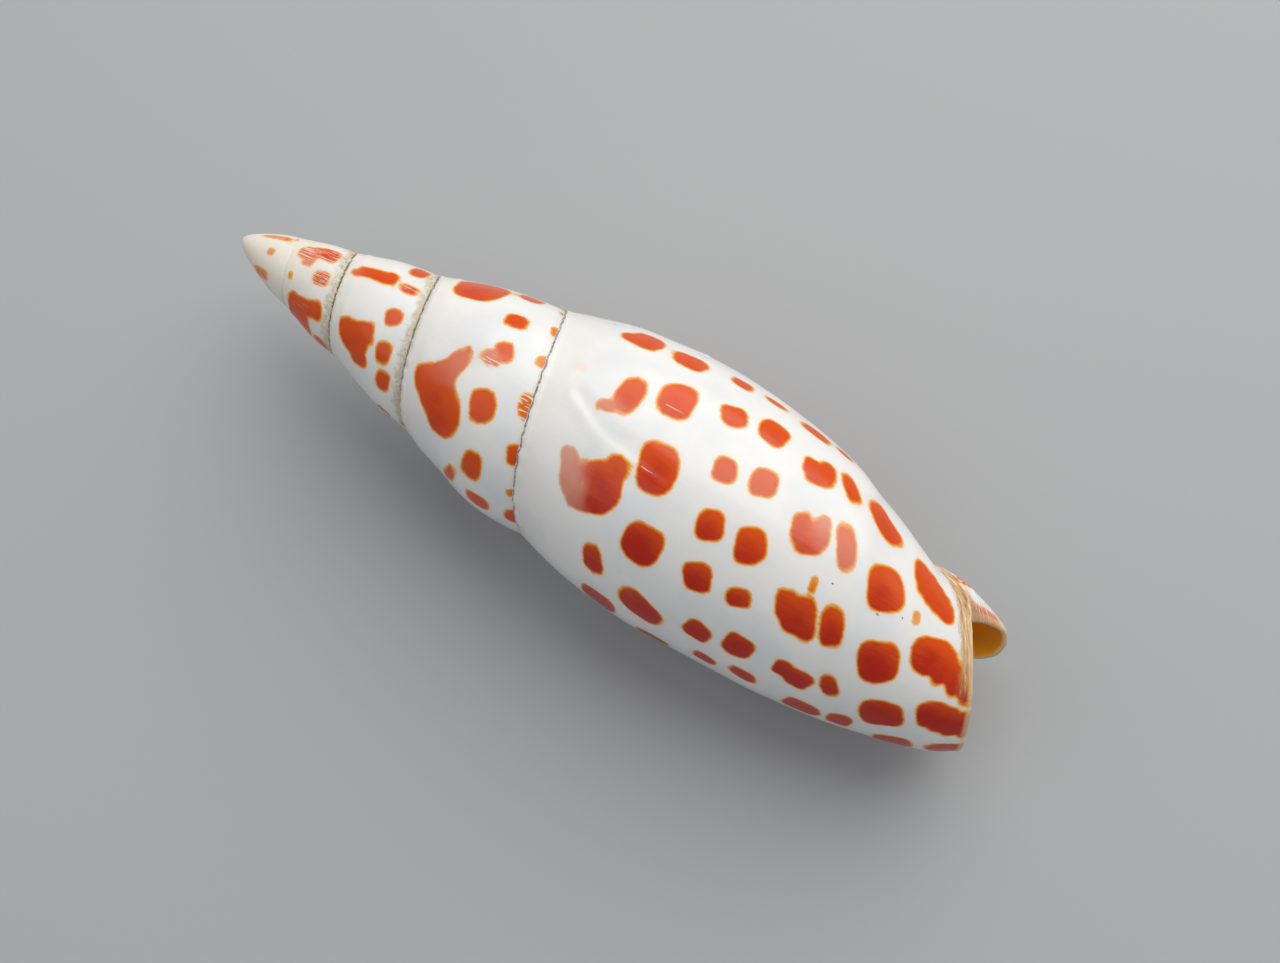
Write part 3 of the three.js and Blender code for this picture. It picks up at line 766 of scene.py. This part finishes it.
def seam_relief(turn, fields, seam_height):
    """Height of the scalloped seams, and how far they wander along the shell."""
    scallop = 0.5 + sum(
        height * np.sin(turn * waves + shift * np.sin(turn * shifts))
        for height, waves, shift, shifts in SCALLOP_WAVES)
    uneven = 0.75 + 0.25 * np.sin(turn * 7.3) * np.sin(turn * 2.9)
    grown = size(turn)
    raised = np.exp(-(fields["behind"] / (SEAM_LIFT_WIDTH * grown)) ** 2)
    trough = np.exp(-(fields["ahead"] / (SEAM_LIFT_WIDTH * grown)) ** 2)
    height = seam_height * grown * raised * uneven * (0.55 + 0.45 * scallop) - SEAM_TROUGH * trough
    wander = -SEAM_WANDER * np.maximum(raised, trough) * (scallop - 0.5) * uneven * grown
    return height, wander


def ridge_relief(turn, fields, ridge_height):
    """Height of the wavy ridges along the crease before the horn."""
    crease = fields["crease"]
    ridged = ramp(*RIDGES_BEGIN, crease) * ramp(*RIDGES_END, crease)
    ridged = ridged * ramp(*RIDGED_DEGREES, fields["growth"])
    return ridge_height * ridged * np.sin(crease * TURN / RIDGE_SPACING + 1.5 * np.sin(turn * 3))


def shape_relief(points, fields, settings):
    """Moves the points for the scalloped seams, the ridges before the horn and the healed break."""
    x, y, z = points.T
    turn, healed = deg(1) * fields["growth"], fields["healed"]
    height, wander = seam_relief(turn, fields, settings.seam_height)
    scar = SCAR_STEP * np.tanh(healed / SCAR_WIDTH) * ramp(*SCAR_FADE, np.abs(healed))
    height = height + ridge_relief(turn, fields, settings.ridge_height) + scar
    unworn = (1 - fields["inside"]) * ramp(*WORN_SMOOTH, x)
    scale = 1 + height * unworn / np.maximum(np.hypot(y, z), 0.5)
    return np.stack([x + wander * unworn, y * scale, z * scale], -1)


def paint_and_shape(mesh, settings):
    """Stores the fields on the mesh as named attributes and adds the fine relief."""
    points = np.zeros(len(mesh.vertices) * 3)
    mesh.vertices.foreach_get("co", points)
    points = points.reshape(-1, 3)
    fields = surface_fields(points)
    for name, values in fields.items():
        layer = mesh.attributes.new(name, "FLOAT", "POINT")
        layer.data.foreach_set("value", np.asarray(values, np.float32))
    turn = deg(1) * fields["growth"]
    unrolled = np.stack([
        points[:, 0], UNROLLED_RADIUS * np.sin(turn), UNROLLED_RADIUS * np.cos(turn)], -1)
    band = np.stack([fields["crease"], UNROLLED_RADIUS * turn, 0 * turn], -1)
    for name, values in (("unrolled", unrolled), ("band", band), ("solid_place", points)):
        layer = mesh.attributes.new(name, "FLOAT_VECTOR", "POINT")
        layer.data.foreach_set("vector", values.astype(np.float32).ravel())
    mesh.vertices.foreach_set("co", shape_relief(points, fields, settings).ravel())


def both_ways(operation):
    """One sum as a Python operator, and its reflected form."""
    return (lambda self, other: self.maths(operation, self, other),
            lambda self, other: self.maths(operation, other, self))


class Value:
    """A number on a material's node tree that takes part in Python sums."""

    __add__, __radd__ = both_ways("ADD")
    __sub__, __rsub__ = both_ways("SUBTRACT")
    __mul__, __rmul__ = both_ways("MULTIPLY")

    def __init__(self, paint, socket):
        self.paint = paint
        self.socket = socket

    def maths(self, operation, first, second=0.0):
        node = self.paint.node("ShaderNodeMath", {"operation": operation}, {0: first, 1: second})
        return Value(self.paint, node.outputs[0])

    def __abs__(self):
        return self.maths("ABSOLUTE", self)

    def centred(self, amount):
        """A noise around 0 instead of 0.5, as wide as the amount."""
        return (self - 0.5) * amount

    def smooth(self, low, high):
        """0 at low and 1 at high, with a smooth step between; low may be the larger."""
        settings = {"interpolation_type": "SMOOTHSTEP"}
        sockets = {"Value": self, "From Min": low, "From Max": high}
        return Value(self.paint, self.paint.node("ShaderNodeMapRange", settings, sockets).outputs[0])


class Paint:
    """One material and the few ways in which its nodes are made."""

    def __init__(self, name):
        self.material = bpy.data.materials.new(name)
        self.material.use_nodes = True
        self.tree = self.material.node_tree
        self.tree.nodes.clear()

    def node(self, kind, settings=None, sockets=None):
        made = self.tree.nodes.new(kind)
        for key, value in (settings or {}).items():
            setattr(made, key, value)
        for key, value in (sockets or {}).items():
            value = value.socket if isinstance(value, Value) else value
            if isinstance(value, bpy.types.NodeSocket):
                self.tree.links.new(value, made.inputs[key])
            else:
                made.inputs[key].default_value = value
        return made

    def field(self, name):
        node = self.node("ShaderNodeAttribute", {"attribute_name": name})
        return Value(self, node.outputs["Fac"])

    def place(self, name, stretch):
        node = self.node("ShaderNodeAttribute", {"attribute_name": name})
        sockets = {0: node.outputs["Vector"], 1: stretch}
        return self.node("ShaderNodeVectorMath", {"operation": "MULTIPLY"}, sockets).outputs[0]

    def noise(self, place, scale=1.0, detail=2.0, roughness=0.5):
        sockets = {"Vector": place, "Scale": scale, "Detail": detail, "Roughness": roughness}
        return Value(self, self.node("ShaderNodeTexNoise", {}, sockets).outputs[0])

    def blend(self, a, b, share):
        sockets = {0: share, 6: a, 7: b}
        return self.node("ShaderNodeMix", {"data_type": "RGBA"}, sockets).outputs[2]

    def layers(self, colour, *coats):
        """The colour under coats of paint, each given as a colour and its share."""
        for coat, share in coats:
            colour = self.blend(colour, coat, share)
        return colour

    def finish(self, sockets, settings=None):
        """Ends the nodes in one shader and returns the material."""
        shader = self.node("ShaderNodeBsdfPrincipled", settings, sockets)
        self.node("ShaderNodeOutputMaterial", {}, {"Surface": shader.outputs[0]})
        return self.material


def opaque(colour):
    return (*colour, 1.0)


MILKY = (0.76, 0.765, 0.77, 1)
CREAM = (0.82, 0.72, 0.56, 1)
PEACH = (0.84, 0.50, 0.30, 1)
PINK = (0.72, 0.22, 0.06, 1)
SAND = (0.60, 0.52, 0.34, 1)
GRIME = (0.13, 0.10, 0.065, 1)
HORN_GOLD = (0.62, 0.35, 0.12, 1)
HORN_BROWN = (0.30, 0.13, 0.03, 1)
RIM_YELLOW = (0.78, 0.60, 0.33, 1)
THROAT = (0.92, 0.42, 0.03, 1)
# Polish of the whole shell; the subsurface scale is in metres
PORCELAIN = {
    "IOR": 1.52, "Specular IOR Level": 0.3, "Coat Weight": 0.08, "Coat Roughness": 0.06,
    "Subsurface Weight": 0.10, "Subsurface Radius": (1.0, 0.7, 0.5), "Subsurface Scale": 0.0006,
}


class Grain:
    """The noises that the shell's colours and relief share."""

    def __init__(self, paint):
        solid = paint.place("solid_place", (1, 1, 1))
        self.cloud = paint.noise(solid, 0.13, 3)
        self.coarse = paint.noise(solid, 0.8, 3, 0.55)
        self.fine = paint.noise(solid, 3.5, 3, 0.6)
        self.dirt = paint.noise(solid, 2.6, 4, 0.65)
        self.growth = paint.noise(paint.place("unrolled", (0.10, 2.6, 2.6)), 1.0, 3, 0.55)
        self.streak = paint.noise(paint.place("unrolled", (0.45, 3.2, 3.2)), 1.0, 3, 0.6)
        self.striae = paint.noise(paint.place("band", (2.6, 0.28, 1)), 1.0, 3, 0.6)
        self.fine_striae = paint.noise(paint.place("band", (6.0, 0.5, 1)), 1.0, 2, 0.6)


def ground_colour(paint, grain, settings):
    """Milky white that turns cream beside the seams, on the old spire and on the mouth's glaze."""
    behind, ahead = paint.field("behind"), paint.field("ahead")
    beside = behind.smooth(8, 0.5) * 0.25 + ahead.smooth(1.4, 0.1) * 0.3
    return paint.layers(
        opaque(settings.ground),
        (MILKY, grain.cloud.smooth(0.42, 0.62) * 0.8),
        (CREAM, beside * grain.cloud.smooth(0.25, 0.55)),
        (CREAM, paint.field("along").smooth(22, 2) * 0.6),
        (PEACH, paint.field("peach").smooth(1.3, 0) * 0.4),
        (CREAM, paint.field("glazed") * 0.6))


def spot_colour(paint, grain, settings, depth):
    """Orange at the rim and on the older side, deep red on the newer side, streaked by growth; painted
    shade deepens the red on the shaded flank of the last whorl.
    """
    ripe, faded = paint.field("ripe"), paint.field("faded")
    # Painted shade: the growth-angle term deepens the red from -40 to 50 degrees, on the flank of the
    # last whorl that lies in shade; the side term is each spot's own red newer side.
    newer = paint.field("side") * 0.6 + paint.field("growth").smooth(-40, 50) * 1.2
    inner = depth * 0.3 + newer + grain.streak.centred(0.9) + grain.cloud.centred(1.3)
    past_rim = depth.smooth(0.02, 0.34) * ripe.smooth(0, 0.6)
    deep_red_and_shade = inner.smooth(0.0, 1.8) * past_rim * ripe.smooth(0.3, 1) * 0.9
    return paint.layers(
        opaque(settings.rim), (opaque(settings.spot), past_rim), (opaque(settings.core), deep_red_and_shade),
        (PINK, faded * (0.45 + 0.5 * grain.coarse)))


def horn_colour(paint, grain, base):
    """Golden brown lines along the crease before the horn, and a pale yellow front rim."""
    crease = paint.field("crease")
    edge = crease + grain.coarse.centred(1.4) + grain.fine_striae.centred(0.8)
    gold = edge.smooth(-2.3, -1.2) * edge.smooth(2.2, 0.6) * paint.field("growth").smooth(30, 0)
    lines = paint.layers(
        HORN_GOLD, (HORN_BROWN, grain.striae.smooth(0.5, 0.68)),
        (CREAM, grain.striae.smooth(0.48, 0.36) * 0.9),
        (HORN_BROWN, grain.fine_striae.smooth(0.6, 0.72) * 0.6))
    rim = (paint.field("to_rim") + grain.fine.centred(0.3)).smooth(0.75, 0.25)
    return paint.layers(base, (lines, gold * 0.9), (RIM_YELLOW, rim * 0.6)), gold


def seam_dirt(paint, grain):
    """Sandy crust beside the older seams, dark flecks in it, and the fine dark line of each seam."""
    seam, near, along = paint.field("seam"), paint.field("seam_near"), paint.field("along")
    wavy = grain.coarse.centred(2.4)
    unworn = along.smooth(8, 13)
    older = along.smooth(47, 36) * unworn * near
    above = seam.smooth(0.10, -0.04) * near
    before = (wavy - seam).smooth(1.9, 0.5) * grain.dirt.smooth(0.30, 0.55) * above
    crust = (before + (seam + wavy).smooth(0.7, 0.2) * (1 - above) * 0.4) * older
    flecks = grain.dirt.smooth(0.58, 0.66) * (wavy - seam).smooth(1.7, 0.4) * above
    line = abs(seam + 0.08 + grain.fine.centred(0.2)).smooth(0.20, 0.06)
    line = line * grain.dirt.smooth(0.34, 0.52) * unworn * near
    return crust, flecks * (0.4 + 0.6 * older), line


def shell_material(settings):
    """Polished porcelain white under spots, with what grime, wear and growth have left on it, and
    painted shade that deepens the spots' red on the shaded flank of the last whorl.
    """
    paint = Paint("spotted_porcelain")
    grain = Grain(paint)
    ripe, faded, worn = paint.field("ripe"), paint.field("faded"), paint.field("worn")
    depth = paint.field("spot") + grain.coarse.centred(0.30) + grain.growth.centred(0.22)
    ground = ground_colour(paint, grain, settings)
    spot = spot_colour(paint, grain, settings, depth)
    scratched = grain.streak.smooth(0.53, 0.60) * worn
    cover = depth.smooth(-0.16, 0.10) * ripe.smooth(-0.1, 0.35) * (1 - faded * 0.4)
    cover = cover * (1 - scratched.smooth(0.1, 0.8) * 0.85)
    halo = depth.smooth(-0.6, 0.0) * ripe * 0.09
    spotted = paint.layers(ground, (opaque(settings.rim), halo), (spot, cover))
    outside, gold = horn_colour(paint, grain, spotted)
    crust, flecks, line = seam_dirt(paint, grain)
    pinhole = (paint.field("pinhole") + grain.fine.centred(0.3)).smooth(0.26, 0.12)
    grime = (flecks * 0.6 + line * 0.7 + pinhole * 0.8).smooth(0, 1)
    along, inside = paint.field("along"), paint.field("inside")
    lining = paint.blend(opaque(settings.lining), THROAT, along.smooth(92, 103))
    scratch = paint.field("scratch").smooth(0.14, 0.03)
    dark_line = paint.field("dark_line").smooth(0.10, 0.02) * grain.dirt.smooth(0.35, 0.55)
    colour = paint.layers(
        outside, (SAND, crust.smooth(0, 1) * 0.8), (GRIME, grime), (lining, inside),
        (CREAM, scratch * 0.75), (GRIME, dark_line * 0.45))
    groove = scratch + dark_line * 0.5
    # Millimetres by which each mark stands proud or is sunk
    height = (grain.growth * 0.012 + grain.fine * 0.003 + grain.cloud * 0.05 - groove * 0.05
              - crust * grain.dirt * 0.12 - line * 0.08 - pinhole * 0.15
              + gold * grain.fine_striae * 0.10 - scratched * cover * 0.02)
    bump = paint.node("ShaderNodeBump", {}, {"Strength": 1.0, "Distance": MM, "Height": height})
    # What each mark adds to the roughness of the polish
    rough = (settings.roughness + grain.cloud * 0.08 + crust * 0.45 + gold * 0.22
             + along.smooth(22, 2) * 0.14 + scratched * 0.15 + flecks * 0.2 + inside * 0.12)
    varying = {"Base Color": colour, "Roughness": rough, "Normal": bump.outputs[0]}
    return paint.finish({**varying, **PORCELAIN}, {"subsurface_method": "RANDOM_WALK"})


# The photographed view: where the tip falls in the picture, and how the axis lies in it
PICTURE_WIDTH, PICTURE_HEIGHT = 1280, 963
TIP_PIXEL = (243, 239)
LENS_MM, SENSOR_MM = 50.0, 36.0
TIP_DISTANCE = 232.0
AIM_ALONG_AXIS = 60.0
AXIS_FALL = deg(30.5)
AXIS_TOWARDS_CAMERA = deg(6.6)


def camera_matrix():
    """Camera's place in metres, from how the shell's axis lies in the picture."""
    pixels = LENS_MM / SENSOR_MM * PICTURE_WIDTH
    across = (TIP_PIXEL[0] - PICTURE_WIDTH / 2) / pixels
    up = (PICTURE_HEIGHT / 2 - TIP_PIXEL[1]) / pixels
    tip = Vector((across, up, -1)) * TIP_DISTANCE
    fall, lift = AXIS_FALL, AXIS_TOWARDS_CAMERA
    axis = Vector((
        math.cos(lift) * math.cos(fall), -math.cos(lift) * math.sin(fall), math.sin(lift)))
    towards = -(tip + AIM_ALONG_AXIS * axis).normalized()
    facing = (towards - towards.dot(axis) * axis).normalized()
    side = facing.cross(axis)
    if side.y < 0:
        side = -side
    seen = Matrix.Translation(tip) @ Matrix((axis, side, facing)).transposed().to_4x4()
    held = resting_place() @ seen.inverted()
    return Matrix.Translation(held.to_translation()) @ held.to_quaternion().to_matrix().to_4x4()


def make_camera():
    data = bpy.data.cameras.new("camera")
    data.lens = LENS_MM
    data.sensor_width = SENSOR_MM
    data.clip_start = 0.01
    data.clip_end = 20
    camera = add_object("camera", data)
    camera.matrix_world = camera_matrix()
    bpy.context.scene.camera = camera
    return camera


FLOOR_HALF = 3.0
FLOOR_ROUGHNESS = 0.75


def make_floor(settings):
    mesh = bpy.data.meshes.new("floor")
    corners = [(x * FLOOR_HALF, y * FLOOR_HALF, 0) for x, y in ((-1, -1), (1, -1), (1, 1), (-1, 1))]
    mesh.from_pydata(corners, [], [(0, 1, 2, 3)])
    sockets = {"Base Color": opaque(settings.floor), "Roughness": FLOOR_ROUGHNESS}
    mesh.materials.append(Paint("pale_floor").finish(sockets))
    floor = add_object("floor", mesh)


# Softboxes: direction in the picture (right, up, towards the camera), distance and width in
# metres, share of the key light's power, and colour
SOFTBOXES = {
    "key": ((0.34, 0.78, 0.62), 0.60, 0.85, 1.0, (1.0, 0.985, 0.96)),
    "fill": ((-0.8, 0.1, 0.9), 0.90, 0.80, 0.25, (0.93, 0.96, 1.0)),
}
SKY_COLOUR = (0.92, 0.96, 1.0, 1)
LIGHT_AIM = Vector((0, 0, 0.015))


def make_lights(camera, settings):
    view = camera.matrix_world.to_3x3()
    for name, (direction, distance, width, share, colour) in SOFTBOXES.items():
        data = bpy.data.lights.new(name, "AREA")
        data.shape = "DISK"
        data.size = width
        data.energy = share * settings.key_power
        data.color = colour
        lamp = add_object(name, data)
        lamp.location = LIGHT_AIM + (view @ Vector(direction)).normalized() * distance
        lamp.rotation_euler = (LIGHT_AIM - lamp.location).to_track_quat("-Z", "Y").to_euler()
    world = bpy.data.worlds.new("soft_sky")
    bpy.context.scene.world = world
    world.use_nodes = True
    sky = world.node_tree.nodes["Background"]
    sky.inputs["Color"].default_value = SKY_COLOUR
    sky.inputs["Strength"].default_value = settings.sky_strength


def tint(name, description, default):
    return bpy.props.FloatVectorProperty(
        name=name, description=description, default=default, subtype="COLOR", size=3, min=0, max=1)


def number(name, description, default, min=0, **kind):
    return bpy.props.FloatProperty(
        name=name, description=description, default=default, min=min, **kind)


class ShellSettings(bpy.types.PropertyGroup):
    """Heights, colours, gloss and light that a user would change."""

    seam_height: number("Seam height", "Height of the winding seams in millimetres", 0.32, max=1)
    ridge_height: number("Ridge height", "Height of the front ridges in millimetres", 0.10, max=1)
    ground: tint("Ground", "White of the shell between the spots", (0.84, 0.82, 0.79))
    rim: tint("Spot rim", "Orange at the edge of a spot", (0.84, 0.36, 0.015))
    spot: tint("Spot", "Main colour of a spot", (0.70, 0.075, 0.001))
    # Painted shade: this deep red also darkens the spots on the shaded flank of the last whorl, by
    # growth angle.
    core: tint("Spot core", "Deep red of a spot's newer side", (0.44, 0.005, 0.0))
    lining: tint("Lining", "Cream inside the mouth", (0.74, 0.58, 0.36))
    floor: tint("Floor", "Colour of the plain floor", (0.40, 0.405, 0.41))
    roughness: number(
        "Roughness", "Roughness of the polished outside", 0.18, min=0.02, max=1, subtype="FACTOR")
    key_power: number("Key light", "Power of the main softbox", 4.2, unit="POWER")
    sky_strength: number("Sky", "Strength of the even light from all round", 0.36)


class SHELL_OT_stage(bpy.types.Operator):
    """Add the camera at the photographed angle, the plain floor and the soft lights"""

    bl_idname = "shell.stage"
    bl_label = "Add Stage"

    def execute(self, context):
        settings = context.scene.shell_settings
        camera = make_camera()
        make_floor(settings)
        make_lights(camera, settings)
        context.scene.view_settings.view_transform = "Standard"
        return {"FINISHED"}


class SHELL_OT_shell(bpy.types.Operator):
    """Add the shell: winding skin, hollow chamber and spout, fine relief and spotted porcelain"""

    bl_idname = "shell.shell"
    bl_label = "Add Shell"

    def execute(self, context):
        if "shell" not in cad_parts:
            raise RuntimeError("the packed frame has no node named shell")
        settings = context.scene.shell_settings
        body = skin().to_object("miter_shell")
        cut(body, chamber().to_object("chamber"))
        cut(body, canal().to_object("canal"))
        paint_and_shape(body.data, settings)
        body.data.transform(resting_place())
        body.data.shade_smooth()
        body.data.materials.clear()
        body.data.materials.append(shell_material(settings))
        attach(body, "root")
        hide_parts("shell")
        return {"FINISHED"}


class SHELL_PT_builder(bpy.types.Panel):
    """Settings of the shell and its studio, with a button for each"""

    bl_label = "Miter Shell"
    bl_idname = "SHELL_PT_builder"
    bl_space_type = "VIEW_3D"
    bl_region_type = "UI"
    bl_category = "Shell"

    def draw(self, context):
        for name in ShellSettings.__annotations__:
            self.layout.prop(context.scene.shell_settings, name)
        self.layout.operator(SHELL_OT_shell.bl_idname)
        self.layout.operator(SHELL_OT_stage.bl_idname)


CLASSES = (ShellSettings, SHELL_OT_stage, SHELL_OT_shell, SHELL_PT_builder)


def register():
    for cls in CLASSES:
        bpy.utils.register_class(cls)
    bpy.types.Scene.shell_settings = bpy.props.PointerProperty(type=ShellSettings)


def unregister():
    del bpy.types.Scene.shell_settings
    for cls in reversed(CLASSES):
        bpy.utils.unregister_class(cls)


def main():
    register()
    bpy.ops.shell.stage()
    bpy.ops.shell.shell()


if __name__ == "__main__":
    main()
